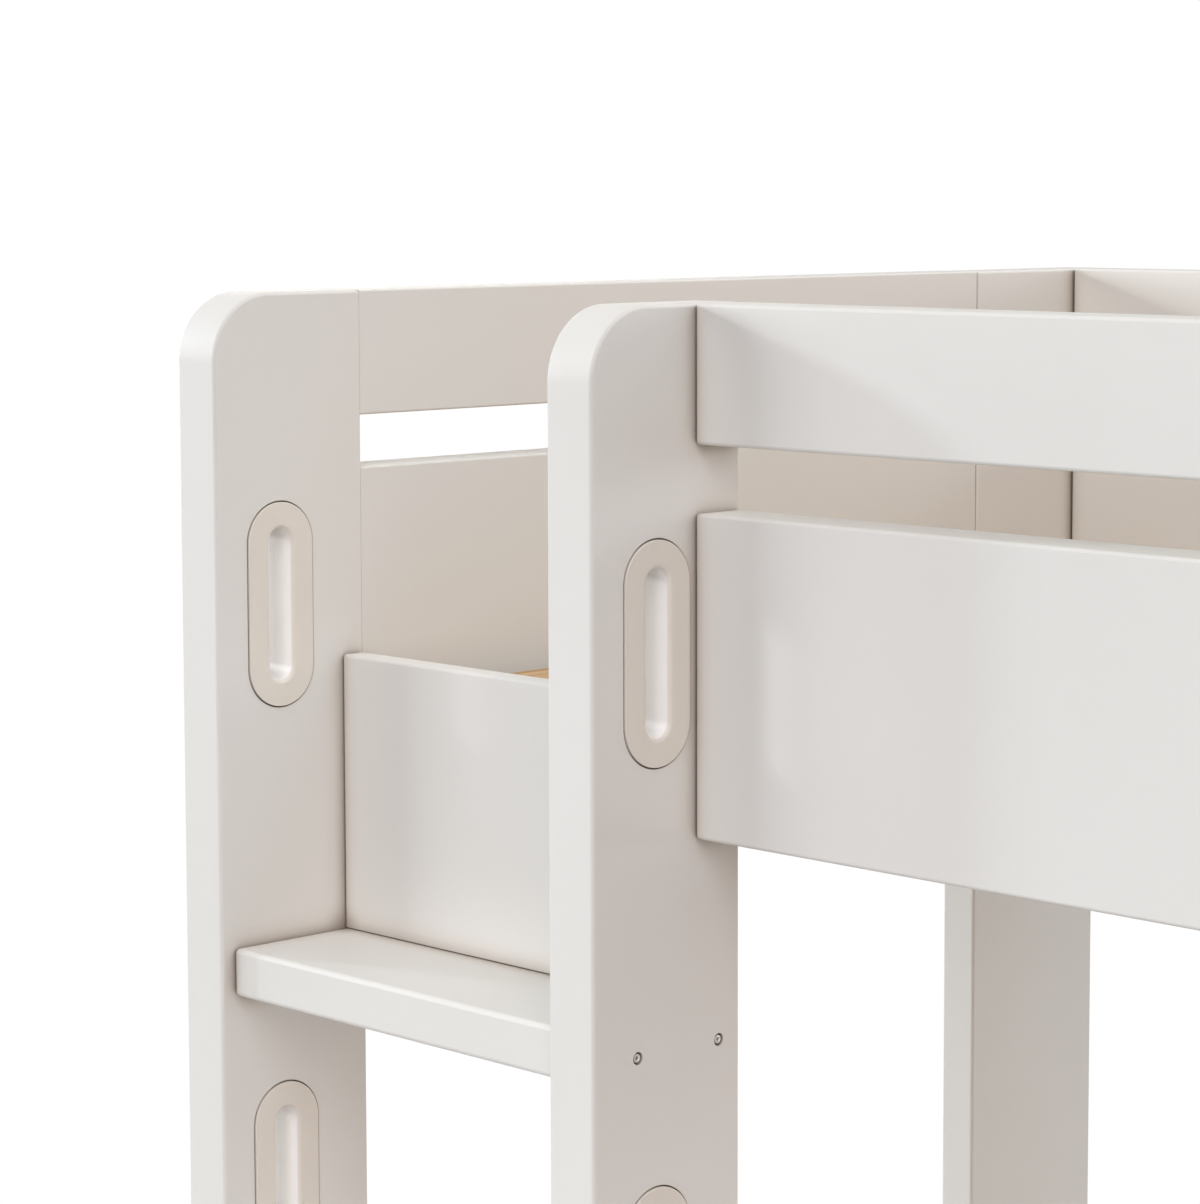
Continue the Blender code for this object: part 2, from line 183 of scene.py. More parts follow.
def pine(name, along):
    """Clear pine: growth rings round a pith beside the plank, fibres along it, a few small knots."""
    n = Nodes(name)
    stretch = {"Y": (1.0, 0.045, 1.0), "X": (0.045, 1.0, 1.0)}[along]
    fine = {"Y": (1.0, 0.022, 1.0), "X": (0.022, 1.0, 1.0)}[along]
    vs = n.coords(stretch)
    vf = n.coords(fine)
    knot_v = n.coords({"Y": (1.0, 0.55, 1.0), "X": (0.55, 1.0, 1.0)}[along])
    # knots bend the rings round them
    cells = n.add("ShaderNodeTexVoronoi", feature="F1", voronoi_dimensions="3D")
    cells.inputs["Scale"].default_value = 4.2
    cells.inputs["Randomness"].default_value = 1.0
    n.link(knot_v, cells.inputs["Vector"])
    knot = n.span(cells.outputs["Distance"], 0.022, 0.075, 1.0, 0.0)
    halo = n.span(cells.outputs["Distance"], 0.03, 0.28, 1.0, 0.0)
    waver = n.noise(vs, 5.0, 3.0, 0.55)
    off = n.add("ShaderNodeVectorMath", operation="SCALE")
    n.link(waver.outputs["Color"], off.inputs[0])
    off.inputs["Scale"].default_value = 0.040
    bend = n.add("ShaderNodeVectorMath", operation="SCALE")
    centred = n.add("ShaderNodeVectorMath", operation="ADD")
    n.link(off.outputs["Vector"], centred.inputs[0])
    n.link(vs, centred.inputs[1])
    push = n.add("ShaderNodeCombineXYZ")
    amount = n.math("MULTIPLY", halo, 0.016)
    for i in range(3):
        n.link(amount, push.inputs[i])
    moved = n.add("ShaderNodeVectorMath", operation="ADD")
    n.link(centred.outputs["Vector"], moved.inputs[0])
    n.link(push.outputs["Vector"], moved.inputs[1])
    n.tree.nodes.remove(bend)
    rings = n.add("ShaderNodeTexWave", wave_type="RINGS", rings_direction=along, wave_profile="SAW")
    rings.inputs["Scale"].default_value = 46.0
    rings.inputs["Distortion"].default_value = 1.4
    rings.inputs["Detail"].default_value = 2.0
    rings.inputs["Detail Scale"].default_value = 1.4
    n.link(moved.outputs["Vector"], rings.inputs["Vector"])
    early, mid, late = (0.640, 0.448, 0.250), (0.590, 0.395, 0.205), (0.440, 0.262, 0.118)
    wood = n.ramp(rings.outputs["Fac"], [(0.0, early), (0.62, mid), (0.90, late), (1.0, early)])
    fibre = n.noise(vf, 520.0, 3.0, 0.6)
    streak = n.ramp(fibre.outputs["Fac"], [(0.32, (0.86, 0.84, 0.80)), (0.62, (1.0, 1.0, 1.0))])
    wood = n.mix("MULTIPLY", 0.55, wood, streak)
    blotch = n.noise(n.coords(), 5.0, 2.0, 0.5)
    shade = n.ramp(blotch.outputs["Fac"], [(0.3, (0.90, 0.88, 0.85)), (0.7, (1.0, 1.0, 1.0))])
    wood = n.mix("MULTIPLY", 0.8, wood, shade)
    wood = n.mix("MIX", knot, wood, (0.170, 0.075, 0.030))
    n.link(wood, n.bsdf.inputs["Base Color"])
    n.link(n.span(fibre.outputs["Fac"], 0.3, 0.7, 0.66, 0.50), n.bsdf.inputs["Roughness"])
    grain = n.bump(rings.outputs["Fac"], 0.18, 0.0004)
    n.link(n.bump(fibre.outputs["Fac"], 0.35, 0.00030, grain), n.bsdf.inputs["Normal"])
    n.set("Specular IOR Level", 0.30)
    return n.mat


def plastic(name, colour, rough, grain, depth):
    """Moulded plastic with a fine spark-eroded texture."""
    n = Nodes(name)
    v = n.coords()
    broad = n.noise(v, 30.0, 2.0, 0.5)
    base = n.ramp(broad.outputs["Fac"],
                  [(0.3, tuple(c * 0.985 for c in colour)), (0.7, tuple(min(1.0, c * 1.01) for c in colour))])
    n.link(base, n.bsdf.inputs["Base Color"])
    spark = n.noise(v, grain, 3.0, 0.6)
    n.link(n.span(spark.outputs["Fac"], 0.3, 0.7, rough - 0.05, rough + 0.07), n.bsdf.inputs["Roughness"])
    n.link(n.bump(spark.outputs["Fac"], 0.35, depth), n.bsdf.inputs["Normal"])
    n.set("Specular IOR Level", 0.45)
    return n.mat


def steel(name):
    """Bright zinc plate: small spangles, turning marks, a little tarnish in patches."""
    n = Nodes(name)
    v = n.coords()
    spangle = n.add("ShaderNodeTexVoronoi", feature="F1", voronoi_dimensions="3D")
    spangle.inputs["Scale"].default_value = 900.0
    n.link(v, spangle.inputs["Vector"])
    tone = n.ramp(spangle.outputs["Color"], [(0.0, (0.80, 0.80, 0.80)), (1.0, (0.96, 0.95, 0.93))])
    tarnish = n.noise(v, 260.0, 3.0, 0.6)
    stain = n.ramp(tarnish.outputs["Fac"], [(0.35, (0.82, 0.80, 0.77)), (0.60, (1.0, 1.0, 1.0))])
    n.link(n.mix("MULTIPLY", 0.8, tone, stain), n.bsdf.inputs["Base Color"])
    n.link(n.span(tarnish.outputs["Fac"], 0.3, 0.7, 0.62, 0.50), n.bsdf.inputs["Roughness"])
    marks = n.noise(n.coords((6.0, 1.0, 1.0)), 2600.0, 2.0, 0.5)
    n.link(n.bump(marks.outputs["Fac"], 0.2, 0.00004), n.bsdf.inputs["Normal"])
    n.set("Metallic", 1.0)
    return n.mat


WHITE = (0.715, 0.695, 0.660)
MAT = {
    "white_lacquer": lacquer("white_lacquer", WHITE),
    "pine_y": pine("pine_crosswise", "Y"),
    "pine_x": pine("pine_lengthwise", "X"),
    "grip_plastic": plastic("grip_plastic", (0.722, 0.670, 0.600), 0.42, 1500.0, 0.00006),
    # a paler copy of the grip plastic: painted light on the lit finger slot wall
    "grip_throat_painted_light": plastic("grip_throat_painted_light", (0.840, 0.812, 0.785), 0.36, 1500.0, 0.00005),
    "glide_plastic": plastic("glide_plastic", (0.42, 0.41, 0.39), 0.62, 900.0, 0.00012),
    "zinc_steel": steel("zinc_steel"),
}


# ---------------------------------------------------------------------------
# Geometry helpers
# ---------------------------------------------------------------------------
def add_piece(name, mesh, kind, nodes=(), origin=(0.0, 0.0, 0.0)):
    obj = bpy.data.objects.new(name, mesh)
    bpy.context.scene.collection.objects.link(obj)
    obj.location = origin
    if not mesh.materials:
        mesh.materials.append(MAT[kind])
    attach(obj, "root")
    if nodes:
        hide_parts(*nodes)
    return obj


def mesh_of(bm, name):
    bmesh.ops.recalc_face_normals(bm, faces=bm.faces[:])
    mesh = bpy.data.meshes.new(name)
    bm.to_mesh(mesh)
    bm.free()
    return mesh


def even_normals(obj):
    mod = obj.modifiers.new("even_normals", "WEIGHTED_NORMAL")
    mod.mode = "FACE_AREA"
    mod.weight = 60
    mod.keep_sharp = True


def evaluated(obj, name):
    """The object's mesh with its modifiers applied."""
    bpy.context.view_layer.update()
    dg = bpy.context.evaluated_depsgraph_get()
    return bpy.data.meshes.new_from_object(obj.evaluated_get(dg), depsgraph=dg, preserve_all_data_layers=True)


def rounded_edges(obj, radius, segments=4, harden=True):
    mod = obj.modifiers.new("rounded_edges", "BEVEL")
    mod.width = radius
    mod.segments = segments
    mod.limit_method = "WEIGHT"
    mod.harden_normals = harden
    mod.use_clamp_overlap = True
    mod.miter_outer = "MITER_SHARP"
    return mod


def weigh_edges(bm, rule):
    """Bevel weight of every edge, from a rule of its direction and middle."""
    layer = bm.edges.layers.float.get("bevel_weight_edge") or bm.edges.layers.float.new("bevel_weight_edge")
    for e in bm.edges:
        d = (e.verts[1].co - e.verts[0].co).normalized()
        e[layer] = rule(d, (e.verts[0].co + e.verts[1].co) / 2, e)


def box_bmesh(lo, hi, cuts=0, axis=0):
    """A box between two corners; the cuts and axis arguments are not used."""
    bm = bmesh.new()
    bmesh.ops.create_cube(bm, size=1.0)
    size = hi - lo
    bmesh.ops.scale(bm, vec=size, verts=bm.verts[:])
    bmesh.ops.translate(bm, vec=(lo + hi) / 2, verts=bm.verts[:])
    return bm


def board(node, kind="white_lacquer", radius=0.003, segments=4, weights=None,
          trim_lo=(0, 0, 0), trim_hi=(0, 0, 0), origin=None, special=None):
    """A board in the place of a CAD node, with rounded edges. weights gives the
    share of the radius for edges along each axis; special can give a single edge
    its own share from where it lies (-1..1 along each axis)."""
    lo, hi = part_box(node)
    lo, hi = lo + Vector(trim_lo), hi - Vector(trim_hi)
    origin = Vector((0, 0, 0)) if origin is None else Vector(origin)
    bm = box_bmesh(lo - origin, hi - origin)
    w = weights or (1.0, 1.0, 1.0)

    centre, half = (lo + hi) / 2 - origin, (hi - lo) / 2

    def rule(d, mid, e):
        if special is not None:
            own = special(Vector([(mid[i] - centre[i]) / half[i] for i in range(3)]))
            if own is not None:
                return own
        return max(((abs(d.x), w[0]), (abs(d.y), w[1]), (abs(d.z), w[2])))[1]

    weigh_edges(bm, rule)
    mesh = mesh_of(bm, "fine_" + node)
    mesh.shade_smooth()
    obj = add_piece("fine_" + node, mesh, kind, (node,), origin)
    rounded_edges(obj, radius, segments)
    return obj


def stadium(radius, core, segments):
    pts = []
    for sign, start in ((1, 0), (-1, 180)):
        for i in range(segments + 1):
            a = math.radians(start + 180 * i / segments)
            pts.append((radius * math.cos(a), sign * core + radius * math.sin(a)))
    return pts


def skin(bm, rows, closed):
    loops = [[bm.verts.new(p) for p in row] for row in rows]
    n = len(loops[0])
    last = len(loops) if closed else len(loops) - 1
    for i in range(last):
        a, b = loops[i], loops[(i + 1) % len(loops)]
        for j in range(n):
            k = (j + 1) % n
            bm.faces.new((a[j], a[k], b[k], b[j]))
    if not closed:
        bm.faces.new(loops[0])
        bm.faces.new(loops[-1])


def arc(cr, cx, radius, start, stop, steps):
    pts = []
    for i in range(steps + 1):
        a = math.radians(start + (stop - start) * i / steps)
        pts.append((cr + radius * math.cos(a), cx + radius * math.sin(a)))
    return pts


def lathe(profile, segments):
    return [[(x, r * math.cos(2 * math.pi * j / segments), r * math.sin(2 * math.pi * j / segments))
             for j in range(segments)] for r, x in profile]


def hexagon(flat, x, segments):
    row = []
    for j in range(segments):
        a = 2 * math.pi * j / segments
        sector = (a % (math.pi / 3)) - math.pi / 6
        r = flat / math.cos(sector)
        row.append((x, r * math.cos(a), r * math.sin(a)))
    return row


def moved_rows(rows, centre, side=1):
    return [[(centre.x + side * x, centre.y + y, centre.z + z) for x, y, z in row] for row in rows]


# ---------------------------------------------------------------------------
# Ladder stiles and posts
# ---------------------------------------------------------------------------
CORNER_R = 0.055
GRIP_Y = 0.0648
GRIP_CORE = 0.0505
PLATE_R = 0.0325
THROAT_R = 0.0115
SLEEVE_R = 0.0145
PROUD = 0.0013
SEAT = 0.0022
GROOVE = 0.0010
FILLET = 0.0032
BOLT_Y = (0.0450, 0.1287)
HEAD_R, RECESS_R, HEX_R, HEAD_DROP = 0.0033, 0.0048, 0.0014, 0.0010

GRIPS = {}
for _stile in ("outer", "inner"):
    for _level in ("upper", "lower"):
        _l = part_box("%s_stile_%s_grip_left_half" % (_stile, _level))
        _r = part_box("%s_stile_%s_grip_right_half" % (_stile, _level))
        GRIPS[_stile, _level] = (Vector(map(min, _l[0], _r[0])) + Vector(map(max, _l[1], _r[1]))) / 2
TREAD_Z = []
for _i in range(1, 5):
    _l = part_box("ladder_tread_%d" % _i)
    TREAD_Z.append((_l[0].z + _l[1].z) / 2)


def grip_hole(centre):
    """Slotted hole through a stile with a shallow seat and an eased mouth on both faces."""
    seat_r = PLATE_R + GROOVE
    hole_r = SLEEVE_R + 0.0003
    floor = PANEL / 2 - SEAT - 0.0009
    face = PANEL / 2
    ease = 0.0006
    mouth = [(seat_r, face - ease)]
    for i in range(1, 5):
        a = math.radians(90 * i / 4)
        mouth.append((seat_r + ease * (1 - math.cos(a)), face - ease + ease * math.sin(a)))
    half = [(hole_r, floor), (seat_r, floor)] + mouth + [(seat_r + ease, face + 0.004)]
    rows = [(r, -x) for r, x in reversed(half)] + half
    return moved_rows([[(x, y, z) for y, z in stadium(r, GRIP_CORE, 40)] for r, x in rows], centre)


def bolt_hole(centre, side):
    """Blind round recess, its eased mouth in the stile's face."""
    ease = 0.0003
    rows = lathe([(0.0020, -0.0078), (RECESS_R, -0.0066), (RECESS_R, -ease),
                  (RECESS_R + ease * 0.3, -ease * 0.3), (RECESS_R + ease, 0.0), (RECESS_R + ease, 0.004)], 48)
    return moved_rows(rows, centre, side)


def post_piece(node, cutters=None, rear_share=0.6):
    lo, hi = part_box(node)
    depth, height = hi.y - lo.y, hi.z
    pts = [(0.0, lo.z), (depth, lo.z), (depth, height)]
    for i in range(41):
        a = math.radians(90 + 90 * i / 40)
        pts.append((CORNER_R + CORNER_R * math.cos(a), height - CORNER_R + CORNER_R * math.sin(a)))
    bm = bmesh.new()
    face = bm.faces.new([bm.verts.new((lo.x, lo.y + y, z)) for y, z in pts])
    out = bmesh.ops.extrude_face_region(bm, geom=[face])
    moved = [g for g in out["geom"] if isinstance(g, bmesh.types.BMVert)]
    bmesh.ops.translate(bm, vec=(hi.x - lo.x, 0, 0), verts=moved)

    def rule(d, mid, e):
        if abs(d.x) > 0.9:      # edges across the thickness
            angle = e.calc_face_angle(0.0)
            return 0.8 if angle > 1.0 else 0.0
        rear = abs(d.z) > 0.9 and mid.y > hi.y - 0.001
        return rear_share if rear else 1.0

    bm.normal_update()
    weigh_edges(bm, rule)
    mesh = mesh_of(bm, "raw_" + node)
    raw = bpy.data.objects.new("raw_" + node, mesh)
    bpy.context.scene.collection.objects.link(raw)
    rounded_edges(raw, 0.003, 4, harden=False)
    tools = []
    if cutters:
        cb = bmesh.new()
        for rows in cutters:
            skin(cb, rows, False)
        tool = bpy.data.objects.new("tool_" + node, mesh_of(cb, "tool_" + node))
        bpy.context.scene.collection.objects.link(tool)
        tools.append(tool)
        mod = raw.modifiers.new("holes", "BOOLEAN")
        mod.operation = "DIFFERENCE"
        mod.solver = "EXACT"
        mod.object = tool
    done = evaluated(raw, "fine_" + node)
    done.name = "fine_" + node
    done.materials.clear()
    done.shade_smooth()
    done.set_sharp_from_angle(angle=math.radians(38))
    for o in [raw] + tools:
        bpy.data.objects.remove(o, do_unlink=True)
    obj = add_piece("fine_" + node, done, "white_lacquer", (node,))
    even_normals(obj)
    return obj


def bolt_centres(stile, side):
    lo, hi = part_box(stile)
    x = hi.x if side > 0 else lo.x
    return [Vector((x, lo.y + y, z)) for z in TREAD_Z for y in BOLT_Y]


OUTER_BOLTS = bolt_centres("ladder_stile_outer", -1)
INNER_BOLTS = bolt_centres("ladder_stile_inner", 1)

post_piece("ladder_stile_outer", [grip_hole(GRIPS["outer", l]) for l in ("upper", "lower")]
           + [bolt_hole(c, -1) for c in OUTER_BOLTS], 0.12)
post_piece("ladder_stile_inner", [grip_hole(GRIPS["inner", l]) for l in ("upper", "lower")]
           + [bolt_hole(c, 1) for c in INNER_BOLTS])
post_piece("front_right_post", None, 0.12)

for _node in ("rear_left_post", "rear_right_post"):
    board(_node, radius=0.003, weights=(0.8, 1.0, 1.0))


# ---------------------------------------------------------------------------
# Bolts
# ---------------------------------------------------------------------------
def bolt_mesh(name, centre, side):
    top = -HEAD_DROP
    ease = 0.00045
    prof = [(0.0016, top - 0.0068), (0.0030, top - 0.0062), (0.0030, top - 0.0053), (HEAD_R, top - 0.0053),
            (HEAD_R, top - ease)]
    prof += [(HEAD_R - ease * (1 - math.cos(math.radians(a))), top - ease + ease * math.sin(math.radians(a)))
             for a in (30, 60, 90)]
    rows = lathe(prof, 48)
    rows.append(lathe([(HEX_R * 1.25, top)], 48)[0])
    rows.append(hexagon(HEX_R, top - 0.0003, 48))
    rows.append(hexagon(HEX_R, top - 0.0030, 48))
    rows.append(lathe([(0.0004, top - 0.0040)], 48)[0])
    bm = bmesh.new()
    skin(bm, moved_rows(rows, centre, side), False)
    mesh = mesh_of(bm, name)
    mesh.shade_smooth()
    mesh.set_sharp_from_angle(angle=math.radians(40))
    return mesh


for _k, _c in enumerate(OUTER_BOLTS):
    add_piece("outer_stile_bolt_%d" % (_k + 1), bolt_mesh("outer_stile_bolt", _c, -1), "zinc_steel")
for _k, _c in enumerate(INNER_BOLTS):
    _top = _k >= len(INNER_BOLTS) - 2
    _nodes = (("top_tread_bolt_front", "top_tread_bolt_rear")[_k % 2],) if _top else ()
    add_piece("inner_stile_bolt_%d" % (_k + 1), bolt_mesh("inner_stile_bolt", _c, 1), "zinc_steel", _nodes)


# ---------------------------------------------------------------------------
# Hand grips
# ---------------------------------------------------------------------------
def grip_half(node, centre, side):
    face = PANEL / 2 + PROUD
    under = PANEL / 2 - SEAT
    edge = 0.0004
    prof = [(PLATE_R - 0.0002, under), (PLATE_R, under + 0.0003)]
    prof += arc(PLATE_R - edge, face - edge, edge, 0, 90, 5)
    prof += arc(THROAT_R + FILLET, face - FILLET, FILLET, 90, 180, 16)
    prof += [(THROAT_R, 0.00004), (SLEEVE_R, 0.00004), (SLEEVE_R, under)]
    rows = [[(side * x + centre.x, y + centre.y, z + centre.z) for y, z in stadium(r, GRIP_CORE, 40)]
            for r, x in prof]
    bm = bmesh.new()
    skin(bm, rows, True)
    # painted light: the finger slot gets a paler copy of the grip plastic, up to where its mouth turns, in place of the
    # key light falling on the slot wall
    for f in bm.faces:
        m = f.calc_center_median()
        if abs(m.x - centre.x) < face - FILLET * 0.70 and math.hypot(
                m.y - centre.y, max(0.0, abs(m.z - centre.z) - GRIP_CORE)) < THROAT_R + 0.0004:
            f.material_index = 1
    mesh = mesh_of(bm, "fine_" + node)
    mesh.materials.append(MAT["grip_plastic"])
    mesh.materials.append(MAT["grip_throat_painted_light"])
    mesh.shade_smooth()
    mesh.set_sharp_from_angle(angle=math.radians(40))
    obj = add_piece("fine_" + node, mesh, "grip_plastic", (node,))
    even_normals(obj)
    return obj


for (_stile, _level), _centre in GRIPS.items():
    grip_half("%s_stile_%s_grip_left_half" % (_stile, _level), _centre, -1)
    grip_half("%s_stile_%s_grip_right_half" % (_stile, _level), _centre, 1)

# ---------------------------------------------------------------------------
# Boards
# ---------------------------------------------------------------------------
for _node in ("front_guard_top_board", "front_guard_side_board", "lower_front_rail"):
    board(_node, radius=0.003, trim_lo=(0.0004, 0, 0), trim_hi=(0.0004, 0, 0))
for _node in ("rear_guard_top_board", "rear_guard_side_board", "lower_rear_board"):
    board(_node, radius=0.0025, weights=(1.0, 0.5, 0.5), trim_lo=(0.0023, 0, 0), trim_hi=(0.0023, 0, 0))
for _side in ("left", "right"):
    for _node in ("upper_%s_end_top_board", "upper_%s_end_board", "lower_%s_end_board"):
        # flush against the front stile or post, a hair's gap at the rear leg
        board(_node % _side, radius=0.0018, weights=(0.6, 1.0, 0.6), trim_lo=(0, -0.00022, 0), trim_hi=(0, 0.0009, 0),
              special=lambda p: 0.12 if p.y < -0.9 else None)
for _node in ("upper_entry_rail", "lower_entry_rail"):
    # its lower edge is all but sharp, so only a thin dark line shows over the tread
    board(_node, radius=0.0030, segments=5, trim_lo=(0.0004, 0, 0.0003), trim_hi=(0.0004, 0, 0),
          special=lambda p: 0.15 if p.z < -0.9 else None)
for _i in range(1, 5):
    board("ladder_tread_%d" % _i, radius=0.0042, segments=6, trim_lo=(0.0004, 0, 0), trim_hi=(0.0004, 0, 0))

# ---------------------------------------------------------------------------
# Slats, bearers and their screws
# ---------------------------------------------------------------------------
SCREW_R = 0.0042


def screw_hole(x, y, top):
    rows = [[(x + r * math.cos(2 * math.pi * j / 32), y + r * math.sin(2 * math.pi * j / 32), top + z)
             for j in range(32)] for r, z in ((0.0014, -0.0050), (0.0016, -0.0034), (SCREW_R + 0.0003, -0.0006),
                                              (SCREW_R + 0.0003, 0.002))]
    return rows


def screw_rows(x, y, top, turn):
    """Countersunk head with a six-lobed socket."""
    def ring(r, z, lobe=0.0):
        return [(x + r * (1 + lobe * math.cos(6 * (2 * math.pi * j / 48) + turn)) * math.cos(2 * math.pi * j / 48),
                 y + r * (1 + lobe * math.cos(6 * (2 * math.pi * j / 48) + turn)) * math.sin(2 * math.pi * j / 48),
                 top + z) for j in range(48)]
    return [ring(0.0011, -0.0048), ring(0.0014, -0.0040), ring(SCREW_R - 0.0003, -0.0013), ring(SCREW_R, -0.0009),
            ring(SCREW_R - 0.0003, -0.0007), ring(0.0024, -0.00065), ring(0.0018, -0.0008, 0.12),
            ring(0.0016, -0.0022, 0.12), ring(0.0004, -0.0027)]


def slat(node, screws):
    lo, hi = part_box(node)
    origin = Vector(((lo.x + hi.x) / 2 + RNG.uniform(-0.07, 0.07), (lo.y + hi.y) / 2 + RNG.uniform(-0.3, 0.3),
                     lo.z - RNG.uniform(0.010, 0.055)))
    bm = box_bmesh(lo, hi)
    weigh_edges(bm, lambda d, mid, e: 1.0)
    raw = bpy.data.objects.new("raw_" + node, mesh_of(bm, "raw_" + node))
    bpy.context.scene.collection.objects.link(raw)
    rounded_edges(raw, 0.0018, 3, harden=False)
    cb = bmesh.new()
    for x, y in screws:
        skin(cb, screw_hole(x, y, hi.z), False)
    tool = bpy.data.objects.new("tool_" + node, mesh_of(cb, "tool_" + node))
    bpy.context.scene.collection.objects.link(tool)
    mod = raw.modifiers.new("holes", "BOOLEAN")
    mod.operation, mod.solver, mod.object = "DIFFERENCE", "EXACT", tool
    done = evaluated(raw, node)
    done.name = "fine_" + node
    done.materials.clear()
    done.transform(Matrix.Translation(-origin))
    done.shade_smooth()
    done.set_sharp_from_angle(angle=math.radians(38))
    for o in (raw, tool):
        bpy.data.objects.remove(o, do_unlink=True)
    obj = add_piece("fine_" + node, done, "pine_y", (node,), origin)
    even_normals(obj)


for _bunk in ("upper", "lower"):
    for _end in ("front", "rear"):
        _node = "%s_%s_slat_bearer" % (_bunk, _end)
        _lo, _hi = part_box(_node)
        board(_node, "pine_x", 0.0018, 3, origin=(0.1, _lo.y - RNG.uniform(0.01, 0.03), _lo.z - RNG.uniform(0.0, 0.03)))
    _front, _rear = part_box(_bunk + "_front_slat_bearer"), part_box(_bunk + "_rear_slat_bearer")
    _screws = bmesh.new()
    for _i in range(1, 10):
        _node = "%s_slat_%d" % (_bunk, _i)
        _lo, _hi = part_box(_node)
        _places = [((_lo.x + _hi.x) / 2 + s * 0.045, (b[0].y + b[1].y) / 2) for b in (_front, _rear) for s in (-1, 1)]
        slat(_node, _places)
        for _x, _y in _places:
            skin(_screws, screw_rows(_x, _y, _hi.z, RNG.uniform(0, 6.28)), False)
    _mesh = mesh_of(_screws, _bunk + "_slat_screws")
    _mesh.shade_smooth()
    _mesh.set_sharp_from_angle(angle=math.radians(40))
    add_piece(_bunk + "_slat_screws", _mesh, "zinc_steel")


# ---------------------------------------------------------------------------
# Glides
# ---------------------------------------------------------------------------
def glide(node):
    lo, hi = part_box(node)
    radius = (hi.x - lo.x) / 2
    core = (hi.y - lo.y) / 2 - radius
    centre = (lo + hi) / 2
    prof = [(radius - 0.0012, 0.0)]
    prof += [(radius - 0.0012 + 0.0012 * math.sin(math.radians(a)), 0.0012 - 0.0012 * math.cos(math.radians(a)))
             for a in (22.5, 45, 67.5, 90)]
    prof += [(radius, hi.z - 0.0004), (radius - 0.0004, hi.z)]
    rows = [[(centre.x + a, centre.y + b, z) for a, b in stadium(r, core, 24)] for r, z in prof]
    bm = bmesh.new()
    skin(bm, rows, False)
    mesh = mesh_of(bm, "fine_" + node)
    mesh.shade_smooth()
    mesh.set_sharp_from_angle(angle=math.radians(40))
    add_piece("fine_" + node, mesh, "glide_plastic", (node,))


for _node in ("ladder_stile_outer_glide", "ladder_stile_inner_glide", "front_right_glide",
              "rear_left_glide", "rear_right_glide"):
    glide(_node)


# ---------------------------------------------------------------------------
# Floor, lights and world
# ---------------------------------------------------------------------------
def floor_piece(radius):
    bm = bmesh.new()
    rings = [[bm.verts.new((r * math.cos(2 * math.pi * j / 96), r * math.sin(2 * math.pi * j / 96), -0.0005))
              for j in range(96)] for r in (0.5, 1.0, 1.5, 2.0, 2.5, 3.0, radius)]
    bm.faces.new(rings[0])
    for a, b in zip(rings, rings[1:]):
        for j in range(96):
            k = (j + 1) % 96
            bm.faces.new((a[j], b[j], b[k], a[k]))
    mesh = mesh_of(bm, "floor")
    obj = bpy.data.objects.new("floor", mesh)
    bpy.context.scene.collection.objects.link(obj)
    n = Nodes("pale_floor")
    n.set("Base Color", (0.86, 0.86, 0.86, 1.0))
    n.set("Roughness", 0.9)
    n.set("Specular IOR Level", 0.1)
    # fades out towards its rim
    tex = n.add("ShaderNodeTexCoord")
    length = n.add("ShaderNodeVectorMath", operation="LENGTH")
    n.link(tex.outputs["Object"], length.inputs[0])
    fade = n.span(length.outputs["Value"], 1.7, radius * 0.97, 1.0, 0.0)
    fine = n.noise(tex.outputs["Object"], 140.0, 3.0, 0.6)
    n.link(n.bump(fine.outputs["Fac"], 0.1, 0.0004), n.bsdf.inputs["Normal"])
    glow = n.add("ShaderNodeEmission")
    glow.inputs["Color"].default_value = (1.0, 1.0, 1.0, 1.0)
    glow.inputs["Strength"].default_value = FLOOR_GLOW
    both = n.add("ShaderNodeAddShader")
    n.link(n.bsdf.outputs["BSDF"], both.inputs[0])
    n.link(glow.outputs["Emission"], both.inputs[1])
    clear = n.add("ShaderNodeBsdfTransparent")
    mix = n.add("ShaderNodeMixShader")
    n.link(fade, mix.inputs["Fac"])
    n.link(clear.outputs["BSDF"], mix.inputs[1])
    n.link(both.outputs["Shader"], mix.inputs[2])
    n.link(mix.outputs["Shader"], n.tree.nodes["Material Output"].inputs["Surface"])
    mesh.materials.append(n.mat)
    return obj


FLOOR_GLOW = 0.000
floor = floor_piece(3.5)


def sun(name, travel, energy, angle, colour=(1, 1, 1)):
    """A distant lamp whose light travels that way; a wide angle makes it a soft box."""
    data = bpy.data.lights.new(name, "SUN")
    data.energy = energy
    data.angle = math.radians(angle)
    data.color = colour
    obj = bpy.data.objects.new(name, data)
    bpy.context.scene.collection.objects.link(obj)
    obj.rotation_mode = "QUATERNION"
    obj.rotation_quaternion = Vector(travel).to_track_quat("-Z", "Y")
    obj.location = -Vector(travel) * 5 + Vector((0, 0, 1))
    return obj


